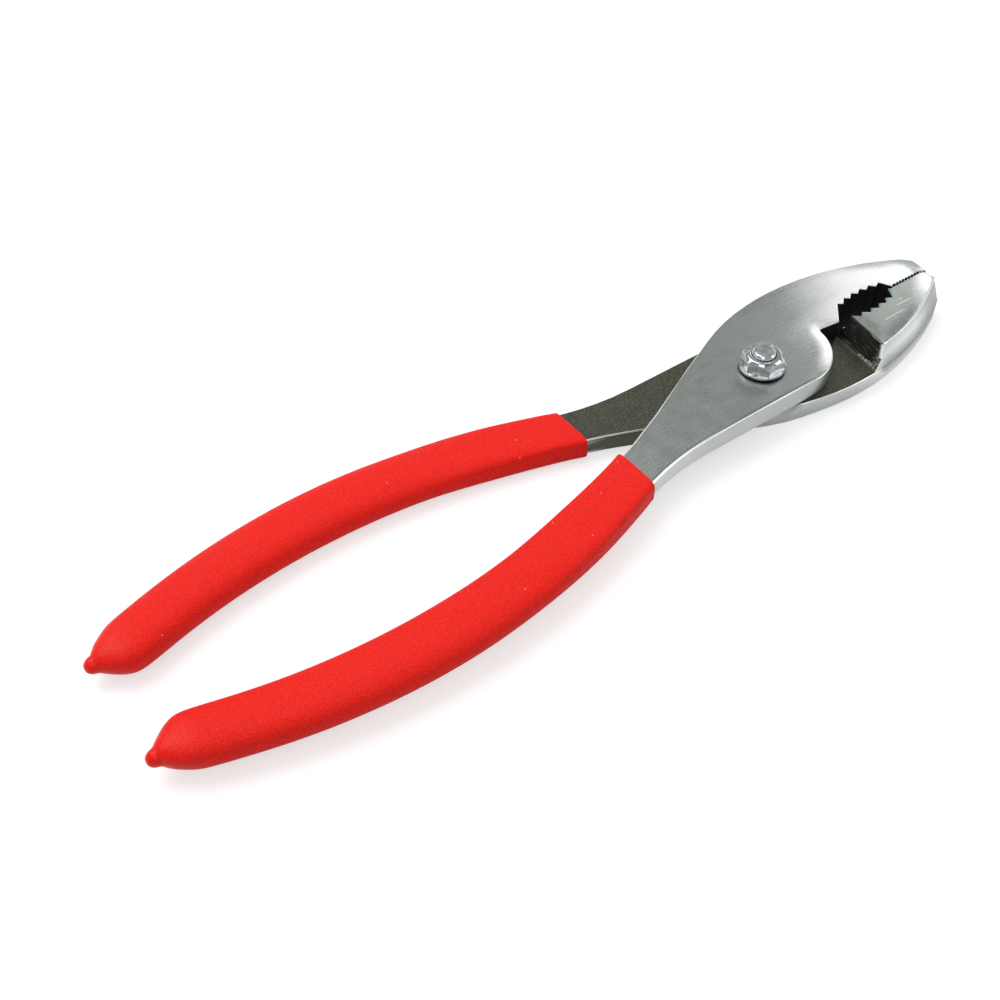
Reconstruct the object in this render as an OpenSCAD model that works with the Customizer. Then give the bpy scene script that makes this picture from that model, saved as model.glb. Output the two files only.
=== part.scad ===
// Slip joint pliers with dipped vinyl grips, lying flat and closed.
// The jaws point along +X, the upper lever's jaw lies on the +Y side and its handle on the -Y side.
// The origin is the middle of the length and width, on the plane the tool lies on.

/* [Overall] */
// Length from the nose to the end of the grips
overall_length = 200; // [180:1:230]
// Thickness of the head, both levers together
head_thickness = 9.6; // [8.6:0.1:11]
// Running gap between the two levers where they lap
lap_gap = 0.1; // [0.06:0.02:0.2]
// Gap left between the closed jaws
mouth_gap = 0.1; // [0.06:0.02:0.3]

/* [Jaws] */
// Distance from the nose to the widest place of the jaw's back
jaw_peak = 35.3; // [32:0.1:39]
// Distance from the mouth line to the jaw's back at its widest
jaw_reach = 14.95; // [13.5:0.05:16.5]
// Slope of the jaw's back where it meets the nose, in degrees
nose_slope = 30; // [27:0.5:33]
// Radius of the jaw's back ahead of its widest place
jaw_front_radius = 65; // [58:1:72]
// Radius of the jaw's back behind its widest place
jaw_back_radius = 55; // [48:1:62]
// Distance by which the nose stands back at the mouth
nose_set = 0.5; // [0:0.1:0.8]
// Rounding of the nose's outer corner
nose_round = 0.8; // [0.4:0.1:1.2]
// Distance from the nose to the wall at the end of the jaw block
jaw_length = 26.2; // [25.6:0.1:27]
// Slant of that wall across the jaw, in degrees
wall_slant = 8; // [0:0.5:12]
// How far that wall leans out from its brow to its foot
wall_draft = 2.4; // [0.5:0.1:2.6]
// How far the jaw block's back leans in towards its outer face
flank_lean = 2; // [0.8:0.1:2.6]
// Step left at the parting line of the jaw's back
parting_step = 0.15; // [0.1:0.05:0.4]
// Distance by which the lower jaw stands behind the upper one
jaw_stagger = 1.4; // [1.1:0.05:1.6]

/* [Teeth] */
// Length of the finely toothed flat at the nose
fine_length = 11.9; // [10:0.1:12.6]
// Spacing of the fine teeth
fine_pitch = 0.95; // [0.8:0.05:1.2]
// Depth of the fine teeth
fine_depth = 0.45; // [0.3:0.05:0.6]
// Distance from the nose to the middle of the pipe grip
pipe_middle = 19.75; // [19.5:0.05:20]
// Height of the pipe grip's tooth tips over the mouth line
pipe_rise = 2.6; // [2.2:0.05:3]
// Radius of the arc on which the coarse tooth tips lie
pipe_radius = 22.5; // [20:0.5:28]
// Number of coarse teeth
coarse_count = 5; // [3:1:5]
// Spacing of the coarse teeth
coarse_pitch = 2.58; // [2.4:0.01:2.7]
// Depth of the coarse teeth
coarse_depth = 1.05; // [0.8:0.05:1.4]
// Share of each tooth taken by the side that faces the nose
tooth_skew = 0.6; // [0.4:0.05:0.7]

/* [Cutter and lobe] */
// Distance from the nose to the edge of the wire cutter
cutter_back = 30.4; // [29.8:0.1:31]
// Distance by which the cutter's edge passes the mouth line
cutter_pass = 1.81; // [1.2:0.05:2.2]
// Distance from the nose to the throat behind the cutter
throat_back = 35.6; // [35:0.1:37]
// Distance of the throat below the mouth line
throat_drop = 1; // [0.6:0.1:1.2]
// Lean of the lobe's front from the throat, in degrees
lobe_lean = 8.4; // [4:0.2:12]
// Radius of the lobe's front corner
lobe_radius = 12.8; // [10:0.1:13]
// Rounding of the throat
throat_round = 0.8; // [0.4:0.1:1.2]

/* [Handles] */
// Slope of the handle's inner edge behind the head, in degrees
handle_slope = 24; // [22:0.5:26]
// Blend radius between that slope and the bowed handle
slope_blend = 150; // [120:5:200]
// Distance from the mouth line to the neck's outer edge
neck_reach = 12.4; // [11.4:0.1:13.4]
// Blend radius between the neck and the bowed handle
neck_blend = 60; // [40:5:90]
// Distance from the end of the grips to the handle's widest place
bow_back = 54; // [49:0.5:59]
// Distance from the centre line to the bar's outer edge at its widest
bow_reach = 25; // [23:0.05:27]
// Radius of the bar's outer edge
bow_radius = 134; // [125:1:145]
// Radius of the bar's inner edge
inner_bow_radius = 133; // [122:1:144]
// Slope at which the bar's outer edge leaves the bow, in degrees
bow_slope = 20; // [18:0.5:22]
// Width of the bar at its widest place
bar_width = 9.9; // [8.8:0.1:11]
// Distance by which the inner edge's bow lies behind the outer one
bow_lag = 2.5; // [0:0.5:6]
// Slope at which the bar's inner edge leaves the bow, in degrees
inner_slope = 13; // [11:0.5:15]
// Distance from the end of the grips to the end of the bar
bar_end = 7; // [6:0.1:9]
// Rounding of the bar's end corners
bar_end_round = 3.5; // [2:0.1:4]
// Length ahead of the grip over which the bar bends towards the middle
bend_length = 22; // [16:1:30]
// Drop of the bar's outer face from there to the front of the grip
bend_drop = 0.9; // [0.82:0.01:1.1]
// Height of the bar's middle at its end over the middle of the head
tail_rise = 0.4; // [0:0.1:0.8]

/* [Grips] */
// Length of each grip
grip_length = 105.8; // [98:0.1:112]
// Thickness of the vinyl at the front edge
vinyl_front = 0.8; // [0.6:0.05:0.82]
// Thickness of the vinyl on the edges of the bar
vinyl_side = 1.25; // [0.9:0.05:1.6]
// Thickness of the grip at its middle
grip_thickness = 7; // [6.4:0.1:7.2]
// Length over which the grip swells from its front edge
grip_swell = 60; // [45:1:75]
// Squareness of the grip's section at its front edge
front_square = 4; // [3.5:0.1:6]
// Squareness of the grip's section at its middle
middle_square = 2.5; // [2.4:0.1:3.5]
// Length of the tapered tail, nub left out
tail_length = 6; // [5:0.5:8]
// Shape of the tail's taper on its inner edge: 1 is straight, 2 is round
inner_taper = 1.4; // [1:0.1:3]
// Shape of the tail's taper on its outer edge and its two faces
outer_taper = 2.2; // [1:0.1:3]
// Radius of the drip nub at the end of the grip
nub_radius = 1.7; // [1.2:0.1:2.2]
// Length of the drip nub
nub_length = 2; // [1.2:0.1:2.6]

/* [Pivot] */
// Distance from the nose to the pivot
pivot_back = 54.35; // [53:0.05:56]
// Distance of the pivot from the mouth line, on the lower jaw's side
pivot_side = 2.9; // [2:0.1:4]
// Distance between the two positions of the pivot
slip_travel = 7; // [6:0.1:7]
// Direction of the slip from the jaw direction, in degrees
slip_angle = 105; // [98:0.5:112]
// Diameter of the bolt's journal in the upper lever
journal_diameter = 6; // [5.6:0.1:6.4]
// Diameter of the bolt's neck in the slot
neck_diameter = 7; // [6.6:0.1:7.4]
// Width across the flats of the bolt's neck
neck_flats = 5; // [4.4:0.1:5.4]
// Diameter of the bolt's head
head_diameter = 10; // [9:0.1:11]
// Height of the bolt's head
head_height = 1.9; // [1.4:0.1:2.2]
// Depth of the bolt's head under the rest plane
head_sink = 0.15; // [0.1:0.05:0.4]
// Chamfer of the bolt's head and end
bolt_chamfer = 0.5; // [0.3:0.1:0.7]
// Diameter of the thread
thread_diameter = 5; // [4.6:0.1:5.2]
// Length of the thread that stands out of the nut
thread_proud = 0.7; // [0.6:0.1:1.6]
// Width of the nut across its flats
nut_flats = 8; // [7.4:0.1:8.4]
// Height of the nut
nut_height = 3.7; // [3.3:0.1:4.4]
// Diameter of the nut's flange
flange_diameter = 9.8; // [9.6:0.1:11]
// Thickness of the nut's flange
flange_thickness = 0.9; // [0.7:0.1:1.2]
// Turn of the nut's corners from the jaw direction, in degrees
nut_turn = 2.7; // [-30:0.1:30]
// Width of each crimp dent on the nut's crown
dent_width = 1.6; // [1:0.1:2]
// Depth of each crimp dent
dent_depth = 0.6; // [0.3:0.1:0.8]
// Running clearance on the radius of the pivot
pivot_clearance = 0.05; // [0.02:0.01:0.08]
// Clearance round the bolt's head and along the slot
slot_clearance = 0.15; // [0.1:0.01:0.2]

/* [Hidden] */
$fn = 64;

// Greatest turn between two points of a rounded corner, in degrees
arc_step = 4;
// Number of sides of a grip's section
grip_sides = 28;
// Rings along the grip's bar, its tapered tail and its nub
body_rings = 28;
tail_rings = 8;
nub_rings = 4;
// Squareness of a round section
round_square = 2;
// Reach of the cutting blocks past what they cut
past = 1;
// Reach of the blocks that take away a whole side
beyond = 60;

steel = [0.55, 0.56, 0.54];
dark_steel = [0.32, 0.33, 0.31];
zinc = [0.80, 0.81, 0.82];
vinyl = [0.88, 0.12, 0.12];

// Places along the tool
nose_x = overall_length / 2;
tail_x = -overall_length / 2;
grip_x = tail_x + grip_length;
bar_end_x = tail_x + bar_end;
bar_far_x = bar_end_x - past;
bend_x = grip_x + bend_length;
pivot_x = nose_x - pivot_back;
peak_x = nose_x - jaw_peak;
throat_x = nose_x - throat_back;
tail_start_x = tail_x + nub_length + tail_length;

// Heights of the upper lever
lap_z = (head_thickness + lap_gap) / 2;
grip_top_z = head_thickness - bend_drop;
bar_thickness = grip_top_z - lap_z;
tail_height = head_thickness / 2 + tail_rise;
mouth_y = mouth_gap / 2;

// The jaw's back: two arcs that meet at its widest place
peak_to_front = jaw_front_radius * tan(nose_slope / 2);
peak_to_rear = jaw_back_radius * tan(handle_slope / 2);
nose_height = jaw_reach - (jaw_peak - peak_to_front) * tan(nose_slope);

// The bowed edges of the handle bar, on the -Y side
outer_apex = [tail_x + bow_back, -bow_reach];
inner_apex = [tail_x + bow_back - bow_lag, bar_width - bow_reach];
// The bow ends ahead of the bar's end, to leave room for its rounded corners
bow_end_x = bar_end_x + 1.5 * bar_end_round;
outer_tail_slope = asin((outer_apex[0] - bow_end_x) / bow_radius);
inner_tail_slope = asin((inner_apex[0] - bow_end_x) / inner_bow_radius);

// The nut's underside seats on the journal's shoulder
nut_z = head_thickness + pivot_clearance;
nut_top_z = nut_z + nut_height;
bolt_end_z = nut_top_z + thread_proud;
neck_z = head_sink + head_height;
pocket_z = neck_z + pivot_clearance;
nut_corner = nut_flats / sqrt(3);
dent_start = thread_diameter / 2 + bolt_chamfer;

// Point of a bowed edge where it has the slope a
function on_bow(apex, r, a) = [apex[0] + r * sin(a), apex[1] + r * (1 - cos(a))];

// Where the line through p with slope a meets the line through q with slope b
function meet(p, a, q, b) =
    let (x = (q[1] - p[1] + p[0] * tan(a) - q[0] * tan(b)) / (tan(a) - tan(b)))
    [x, p[1] + (x - p[0]) * tan(a)];

// Where the line through p with slope a reaches the end of the bar
function at_bar_end(p, a) = [bar_end_x, p[1] + (bar_end_x - p[0]) * tan(a)];

// A corner [x, y, radius] from a point and a radius
function corner(p, r) = [p[0], p[1], r];
function flat(v) = [v[0], v[1]];
function unit(v) = v / norm(v);

// Length of the tangents of the rounding wanted at corner i of the closed outline v
function wanted(v, i) =
    let (n = len(v))
    let (p = flat(v[i]))
    let (a = unit(flat(v[(i + n - 1) % n]) - p))
    let (b = unit(flat(v[(i + 1) % n]) - p))
    v[i][2] / tan(acos(max(-1, min(1, a * b))) / 2);

// Share of that length that the wall from corner i to corner j has room for
function room(v, i, j) =
    let (need = wanted(v, i) + wanted(v, j))
    need == 0 ? 1 : min(1, norm(flat(v[j]) - flat(v[i])) / need);

// Points of the rounded corner i of the closed outline v
function rounded(v, i) =
    let (n = len(v))
    let (before = (i + n - 1) % n)
    let (after = (i + 1) % n)
    let (p = flat(v[i]))
    let (a = unit(flat(v[before]) - p))
    let (b = unit(flat(v[after]) - p))
    let (t = wanted(v, i) * min(room(v, before, i), room(v, i, after)))
    t < 0.001 ? [p] : fillet(p, a, b, t);

// Arc that leaves p + a * t and arrives at p + b * t along both lines
function fillet(p, a, b, t) =
    let (half = acos(max(-1, min(1, a * b))) / 2)
    let (r = t * tan(half))
    let (c = p + unit(a + b) * t / cos(half))
    let (from = atan2(p[1] + a[1] * t - c[1], p[0] + a[0] * t - c[0]))
    let (to = atan2(p[1] + b[1] * t - c[1], p[0] + b[0] * t - c[0]))
    let (turn = to - from > 180 ? to - from - 360 : to - from < -180 ? to - from + 360 : to - from)
    let (n = max(1, ceil(abs(turn) / arc_step)))
    [for (k = [0:n]) c + r * [cos(from + turn * k / n), sin(from + turn * k / n)]];

// Height of the pipe grip's arc of radius r at the distance d from the nose
function pipe_y(d, r) = pipe_rise - pipe_radius + sqrt(r * r - (d - pipe_middle) * (d - pipe_middle));
function valley_d(k) = pipe_middle + (k - coarse_count / 2) * coarse_pitch;
function tip_d(k) = valley_d(k) + tooth_skew * coarse_pitch;
function valley(k, x) = [x - valley_d(k), pipe_y(valley_d(k), pipe_radius + coarse_depth), 0];
function tip(k, x) = [x - tip_d(k), pipe_y(tip_d(k), pipe_radius), 0];

// Corners of a lever's plan, with its nose at x: back, handle, lobe and cutter
function body_corners(x) = [
    [x, nose_height + (nose_x - x) * tan(nose_slope), nose_round],
    [peak_x + peak_to_front, jaw_reach, jaw_front_radius],
    [peak_x - peak_to_rear, jaw_reach, jaw_back_radius],
    corner(meet([peak_x - peak_to_rear, jaw_reach], handle_slope,
        on_bow(inner_apex, inner_bow_radius, inner_slope), inner_slope), slope_blend),
    corner(meet(on_bow(inner_apex, inner_bow_radius, inner_slope), inner_slope,
        on_bow(inner_apex, inner_bow_radius, -inner_tail_slope), -inner_tail_slope), inner_bow_radius),
    corner(at_bar_end(on_bow(inner_apex, inner_bow_radius, -inner_tail_slope), -inner_tail_slope),
        bar_end_round),
    corner(at_bar_end(on_bow(outer_apex, bow_radius, -outer_tail_slope), -outer_tail_slope),
        bar_end_round),
    corner(meet(on_bow(outer_apex, bow_radius, bow_slope), bow_slope,
        on_bow(outer_apex, bow_radius, -outer_tail_slope), -outer_tail_slope), bow_radius),
    corner(meet(on_bow(outer_apex, bow_radius, bow_slope), bow_slope, [nose_x, -neck_reach], 0), neck_blend),
    [throat_x - (neck_reach - throat_drop) * tan(lobe_lean), -neck_reach, lobe_radius],
    [throat_x, -throat_drop, throat_round],
    [nose_x - cutter_back, -cutter_pass, 0],
];

// Corners of the toothed mouth, from the cutter to the nose
fine_count = floor(fine_length / fine_pitch);
function mouth_corners(x) = [
    for (k = [coarse_count:-1:1]) each [valley(k, x), tip(k - 1, x)],
    valley(0, x),
    [x - fine_length, mouth_y, 0],
    for (k = [fine_count - 1:-1:0]) each [
        [x - (k + 0.5) * fine_pitch, mouth_y + fine_depth, 0],
        [x - max(k * fine_pitch, nose_set), mouth_y, 0],
    ],
];

function lever_corners(x) = concat(body_corners(x), mouth_corners(x));
function lever_plan(x) = let (v = lever_corners(x)) [for (i = [0:len(v) - 1]) each rounded(v, i)];

// Edges of the handle bar, which the grip follows
bar_corners = lever_corners(nose_x);
inner_edge = concat(rounded(bar_corners, 3), rounded(bar_corners, 4), [flat(bar_corners[5])]);
outer_edge = concat(rounded(bar_corners, 7), rounded(bar_corners, 8), [flat(bar_corners[6])]);

// Eases from 0 to 1 as t runs from 0 to 1
function ease(t) = let (s = max(0, min(1, t))) s * s * (3 - 2 * s);
function mix(a, b, t) = a + (b - a) * t;

// Size and place of the grip's section at x
function swell(x) = ease((grip_x - x) / grip_swell);
function bar_middle_z(x) = mix(lap_z + bar_thickness / 2, tail_height, (grip_x - x) / (grip_x - bar_far_x));
function section_y(x) = (lookup(x, inner_edge) + lookup(x, outer_edge)) / 2;
function section_a(x) =
    (lookup(x, inner_edge) - lookup(x, outer_edge)) / 2 + mix(vinyl_front, vinyl_side, swell(x));
function section_b(x) = mix(bar_thickness / 2 + vinyl_front, grip_thickness / 2, swell(x));
function square_of(x) = mix(front_square, middle_square, swell(x));

// Point at the angle t of a rounded section with half sizes a and b
function bulge(v, n) = sign(v) * pow(abs(v), 2 / n);
function ring(x, y, z, a, b, n) =
    [for (k = [0:grip_sides - 1]) let (t = 360 * (k + 0.5) / grip_sides)
        [x, y + a * bulge(cos(t), n), z + b * bulge(sin(t), n)]];

function body_ring(k) =
    let (x = mix(grip_x, tail_start_x, k / body_rings))
    ring(x, section_y(x), bar_middle_z(x), section_a(x), section_b(x), square_of(x));

// The tail tapers nearly straight on its inner edge and rounder elsewhere, down to the nub
function tail_side(half, u, taper) = mix(nub_radius, half, 1 - pow(u, taper));
function tail_ring(k) =
    let (u = k / tail_rings)
    let (x = tail_start_x - tail_length * u)
    let (inner = tail_side(section_a(tail_start_x), u, inner_taper))
    let (outer = tail_side(section_a(tail_start_x), u, outer_taper))
    ring(x, section_y(x) + (inner - outer) / 2, bar_middle_z(bar_end_x), (inner + outer) / 2,
        tail_side(section_b(tail_start_x), u, outer_taper), mix(middle_square, round_square, u));

function nub_ring(k) =
    let (u = 90 * k / (nub_rings + 0.5))
    let (x = tail_x + nub_length * (1 - sin(u)))
    ring(x, section_y(x), bar_middle_z(bar_end_x), nub_radius * cos(u), nub_radius * cos(u), round_square);

grip_rings = concat(
    [for (k = [0:body_rings]) body_ring(k)],
    [for (k = [1:tail_rings]) tail_ring(k)],
    [for (k = [1:nub_rings]) nub_ring(k)]
);

// Faces of the skin: triangles between the rings, a flat front, and a fan to the end point
function skin_faces(rings, sides) = concat(
    [[for (k = [sides - 1:-1:0]) k]],
    [for (r = [0:rings - 2]) for (k = [0:sides - 1]) each [
        [r * sides + k, (r + 1) * sides + (k + 1) % sides, (r + 1) * sides + k],
        [r * sides + k, r * sides + (k + 1) % sides, (r + 1) * sides + (k + 1) % sides],
    ]],
    [for (k = [0:sides - 1]) [(rings - 1) * sides + k, (rings - 1) * sides + (k + 1) % sides, rings * sides]]
);

module grip_skin() {
    end_point = [tail_x, section_y(tail_x), bar_middle_z(bar_end_x)];
    polyhedron(
        points = concat([for (r = grip_rings) each r], [end_point]),
        faces = skin_faces(len(grip_rings), grip_sides),
        convexity = 4
    );
}

// Turns a piece of the upper lever over into its place on the lower one
module turned_over() {
    translate([0, 0, head_thickness])
        rotate([180, 0, 0])
            children();
}

// The lever's plate: its plan, cut to its side profile, as far forward as front_x
module plate(x, front_x) {
    intersection() {
        linear_extrude(head_thickness)
            polygon(lever_plan(x));
        translate([0, beyond, 0])
            rotate([90, 0, 0])
                linear_extrude(2 * beyond)
                    polygon([
                        [front_x, lap_z],
                        [front_x, head_thickness],
                        if (front_x > bend_x) [bend_x, head_thickness],
                        [grip_x, grip_top_z],
                        [bar_far_x, tail_height + bar_thickness / 2],
                        [bar_far_x, tail_height - bar_thickness / 2],
                        [grip_x, lap_z],
                    ]);
    }
}

// The half of the jaw below the lap, with its leaning back and the wall at its end
module jaw_block(x) {
    wall_y = jaw_reach / 2;
    intersection() {
        linear_extrude(lap_z)
            polygon(lever_plan(x));
        translate([peak_x, jaw_reach - jaw_front_radius, 0])
            cylinder(h = lap_z, r1 = jaw_front_radius - flank_lean,
                r2 = jaw_front_radius - parting_step, $fn = 360);
        translate([x - jaw_length, wall_y, 0])
            rotate([0, -atan(wall_draft / lap_z), wall_slant])
                translate([0, -beyond, -beyond])
                    cube([beyond, 2 * beyond, 2 * beyond]);
    }
}

module lever(x) {
    plate(x, nose_x + past);
    jaw_block(x);
}

// Places the children at both positions of the pivot
module at_both_pivots() {
    for (t = [0, slip_travel])
        translate([pivot_x + t * cos(slip_angle), -pivot_side + t * sin(slip_angle), 0])
            children();
}

// A slot along the slip, of the given width, from one pivot position to the other
module slip_channel(width, height) {
    translate([pivot_x, -pivot_side, 0])
        rotate([0, 0, slip_angle])
            translate([0, -width / 2, 0])
                cube([slip_travel, width, height]);
}

module upper_lever() {
    color(steel)
        difference() {
            lever(nose_x);
            translate([pivot_x, -pivot_side, lap_z - past])
                cylinder(d = journal_diameter + 2 * pivot_clearance, h = head_thickness);
        }
}

module lower_lever() {
    pocket_width = head_diameter + 2 * slot_clearance;
    color(dark_steel)
        difference() {
            turned_over()
                lever(nose_x - jaw_stagger);
            translate([0, 0, -past]) {
                at_both_pivots()
                    cylinder(d = neck_diameter + 2 * pivot_clearance, h = head_thickness);
                slip_channel(neck_flats + 2 * slot_clearance, head_thickness);
                at_both_pivots()
                    cylinder(d = pocket_width + slot_clearance, h = pocket_z + past);
                slip_channel(pocket_width, pocket_z + past);
            }
        }
}

module pivot_bolt() {
    color(zinc)
        translate([pivot_x, -pivot_side, 0]) {
            rotate_extrude()
                polygon([
                    [0, head_sink],
                    [head_diameter / 2 - bolt_chamfer, head_sink],
                    [head_diameter / 2, head_sink + bolt_chamfer],
                    [head_diameter / 2, neck_z],
                    [0, neck_z],
                ]);
            intersection() {
                translate([0, 0, neck_z])
                    cylinder(d = neck_diameter, h = head_thickness / 2 - neck_z);
                rotate([0, 0, slip_angle])
                    translate([-neck_diameter, -neck_flats / 2, 0])
                        cube([2 * neck_diameter, neck_flats, head_thickness]);
            }
            rotate_extrude()
                polygon([
                    [0, head_thickness / 2],
                    [journal_diameter / 2, head_thickness / 2],
                    [journal_diameter / 2, nut_z],
                    [thread_diameter / 2, nut_z],
                    [thread_diameter / 2, bolt_end_z - bolt_chamfer],
                    [thread_diameter / 2 - bolt_chamfer, bolt_end_z],
                    [0, bolt_end_z],
                ]);
        }
}

// The nut's crown: a cone that takes the hexagon's corners down to a round top
module nut_crown() {
    crown = nut_corner - nut_flats / 2 + bolt_chamfer;
    rotate_extrude()
        polygon([
            [0, nut_z],
            [nut_corner + past, nut_z],
            [nut_corner + past, nut_top_z - crown - past],
            [nut_corner, nut_top_z - crown],
            [nut_flats / 2 - bolt_chamfer, nut_top_z],
            [0, nut_top_z],
        ]);
}

module pivot_nut() {
    color(zinc)
        translate([pivot_x, -pivot_side, 0])
            rotate([0, 0, nut_turn])
                difference() {
                    union() {
                        translate([0, 0, nut_z])
                            cylinder(d = flange_diameter, h = flange_thickness);
                        intersection() {
                            translate([0, 0, nut_z])
                                cylinder(r = nut_corner, h = nut_height, $fn = 6);
                            nut_crown();
                        }
                    }
                    translate([0, 0, nut_z - past])
                        cylinder(d = thread_diameter + 2 * pivot_clearance, h = nut_height + 2 * past);
                    for (k = [0:2])
                        rotate([0, 0, 120 * k])
                            translate([dent_start, -dent_width / 2, nut_top_z - dent_depth])
                                cube([nut_flats, dent_width, dent_depth + past]);
                }
}

module grip() {
    difference() {
        grip_skin();
        plate(nose_x, grip_x + past);
    }
}

module upper_grip() {
    color(vinyl)
        grip();
}

module lower_grip() {
    color(vinyl)
        turned_over()
            grip();
}

upper_lever();
lower_lever();
pivot_bolt();
pivot_nut();
upper_grip();
lower_grip();
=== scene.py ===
"""Slip joint pliers: two forged levers, a shoulder bolt with its lock nut, and two dipped grips."""

import math

import bmesh
import bpy
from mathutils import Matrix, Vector


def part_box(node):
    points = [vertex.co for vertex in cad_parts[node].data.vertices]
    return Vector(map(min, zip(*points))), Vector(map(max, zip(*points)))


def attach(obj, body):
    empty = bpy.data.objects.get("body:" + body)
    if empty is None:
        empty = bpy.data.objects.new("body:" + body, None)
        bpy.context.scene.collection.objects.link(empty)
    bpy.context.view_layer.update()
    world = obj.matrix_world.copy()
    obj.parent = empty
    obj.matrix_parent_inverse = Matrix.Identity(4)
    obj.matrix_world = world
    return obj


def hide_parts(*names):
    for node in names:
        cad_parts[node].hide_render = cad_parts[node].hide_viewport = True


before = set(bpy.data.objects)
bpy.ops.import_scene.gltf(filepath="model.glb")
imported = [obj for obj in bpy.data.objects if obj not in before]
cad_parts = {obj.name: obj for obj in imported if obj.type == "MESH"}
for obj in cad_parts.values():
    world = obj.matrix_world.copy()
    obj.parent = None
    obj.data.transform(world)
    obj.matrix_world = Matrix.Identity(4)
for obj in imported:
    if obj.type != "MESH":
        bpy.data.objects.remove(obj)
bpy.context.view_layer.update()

bl_info = {
    "name": "Slip Joint Pliers",
    "version": (1, 0, 0),
    "blender": (4, 5, 0),
    "location": "View3D > Sidebar > Pliers",
    "description": "Builds the visual model of a pair of slip joint pliers",
    "category": "Add Mesh",
}

MM = 0.001

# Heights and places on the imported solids, in millimetres
HEAD_TOP = 9.6
LAP_LOW = 4.75
LAP_HIGH = 4.85
PIVOT = Vector((45.65, -2.9, 0))
SECOND_SEAT = Vector((43.84, 3.86, 0))
# Where the steel comes out of the grips, and where the head begins
BARE_FROM = 5
HEAD_FROM = 50
# Reach along the tool of the wall at the end of the jaw
WALL_NEAR = 66
WALL_FAR = 74.5
# Bend of the outer face on the solid, and where it starts once it is eased
BEND_FROM = 27.8
BEND_LENGTH = 22
BEND_DROP = 0.9
SAG_FROM = 44
SAG_LENGTH = 38.2
# Lowest height of the ground upper faces, and the depth under them that moves with them
FACE_LOW = 8.2
EDGE_DEPTH = 1.2
# Scratches on the lower jaw: start and stop along X, and place along Y
SCRATCHES = ((84.0, 88.3, -5.26), (78.0, 84.3, -7.2), (86.0, 86.9, -4.09))
# The face layer that the weighted normal modifier reads, and its value for a strong face
STRENGTH_LAYER = "__mod_weightednormals_faceweight"
STRONG = 16384
# Depth of the bed that the bar has in a grip, and the squareness of the bar
BED_DEPTH = 16
BAR_SQUARE = 14
# Finishes of the levers, in the order of their material slots
GROUND, SKIN, SCALE_AND_SHADE, EDGE, TRIMMED, SCRAPED = range(6)
# The camera's place, and how far it looks down
CAMERA_SPOT = Vector((-127.15, -146.4, 195.56))
CAMERA_DIP = math.radians(46)


def linear(code):
    """The linear colour of an sRGB hex code, with alpha."""
    parts = [int(code[i:i + 2], 16) / 255 for i in (0, 2, 4)]
    return tuple(c / 12.92 if c <= 0.04045 else ((c + 0.055) / 1.055) ** 2.4 for c in parts) + (1.0,)


def ease(t):
    """Runs smoothly from 0 to 1 as t does."""
    s = max(0.0, min(1.0, t))
    return s * s * (3 - 2 * s)


def mix(a, b, t):
    """The value at the share t of the way from a to b."""
    return a + (b - a) * t


# Settings

class ForgingSettings(bpy.types.PropertyGroup):
    """Edges and finishes of the two forged levers."""

    face_edge: bpy.props.FloatProperty(
        name="Ground edge", description="Rounding of the ground outer face's edge",
        default=0.4 * MM, unit="LENGTH")
    neck_edge: bpy.props.FloatProperty(
        name="Neck edge", description="Rounding of the outer edge beside the grip",
        default=1.0 * MM, unit="LENGTH")
    tooth_edge: bpy.props.FloatProperty(
        name="Tooth edge", description="Rounding of the edges of the teeth and the cutter",
        default=0.06 * MM, unit="LENGTH")
    sole_edge: bpy.props.FloatProperty(
        name="Sole edge", description="Rounding where the jaw's back turns under",
        default=1.8 * MM, unit="LENGTH")
    sole_nose: bpy.props.FloatProperty(
        name="Sole at the nose", description="Rounding of the underside's edge at the nose",
        default=0.3 * MM, unit="LENGTH")
    nose_edge: bpy.props.FloatProperty(
        name="Nose edge", description="Rounding of the edges at the nose",
        default=0.15 * MM, unit="LENGTH")
    bore_edge: bpy.props.FloatProperty(
        name="Bore edge", description="Rounding of the edge of the pivot's bore",
        default=0.1 * MM, unit="LENGTH")
    parting: bpy.props.FloatProperty(
        name="Parting", description="Step at the parting line of the jaw's back, ground flush",
        default=0.13 * MM, unit="LENGTH")
    brow_edge: bpy.props.FloatProperty(
        name="Brow edge", description="Rounding of the edge over the wall at the end of the jaw",
        default=0.35 * MM, unit="LENGTH")
    worn_edge: bpy.props.FloatProperty(
        name="Worn edge", description="Width of the worn edge round the recess and the inner neck",
        default=0.5 * MM, unit="LENGTH")
    wall_end: bpy.props.FloatProperty(
        name="Wall end", description="Rounding of the outer end of the wall in the recess",
        default=0.8 * MM, unit="LENGTH")
    wall_fillet: bpy.props.FloatProperty(
        name="Wall fillet", description="Fillet at the foot of the wall in the recess",
        default=0.8 * MM, unit="LENGTH")
    roll_width: bpy.props.FloatProperty(
        name="Roll width",
        description="Width of the zone where grinding rolled the face off towards its edge",
        default=3.2 * MM, unit="LENGTH")
    roll_drop: bpy.props.FloatProperty(
        name="Roll drop", description="Depth of that rolled zone at the edge",
        default=0.2 * MM, unit="LENGTH")
    nose_drop: bpy.props.FloatProperty(
        name="Nose drop", description="Depth of the bevel ground on the nose, at its tip",
        default=0.8 * MM, unit="LENGTH")
    ground: bpy.props.FloatVectorProperty(
        name="Ground steel", description="Colour of the belt ground faces",
        size=4, default=linear("a0a7a2"), subtype="COLOR")
    # Painted sheen: this near white stands in for the lamps' reflection on the steel; it is also the colour of
    # the scratches and of the edges rubbed bright
    sheen_and_wear: bpy.props.FloatVectorProperty(
        name="Sheen and wear",
        description="Colour of the painted sheen along the mouth and the lobe, and of scratches and rubbed edges",
        size=4, default=linear("f8f9f8"), subtype="COLOR")
    oxide: bpy.props.FloatVectorProperty(
        name="Forging skin", description="Colour of the dark forged skin",
        size=4, default=linear("4a4c40"), subtype="COLOR")


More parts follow.
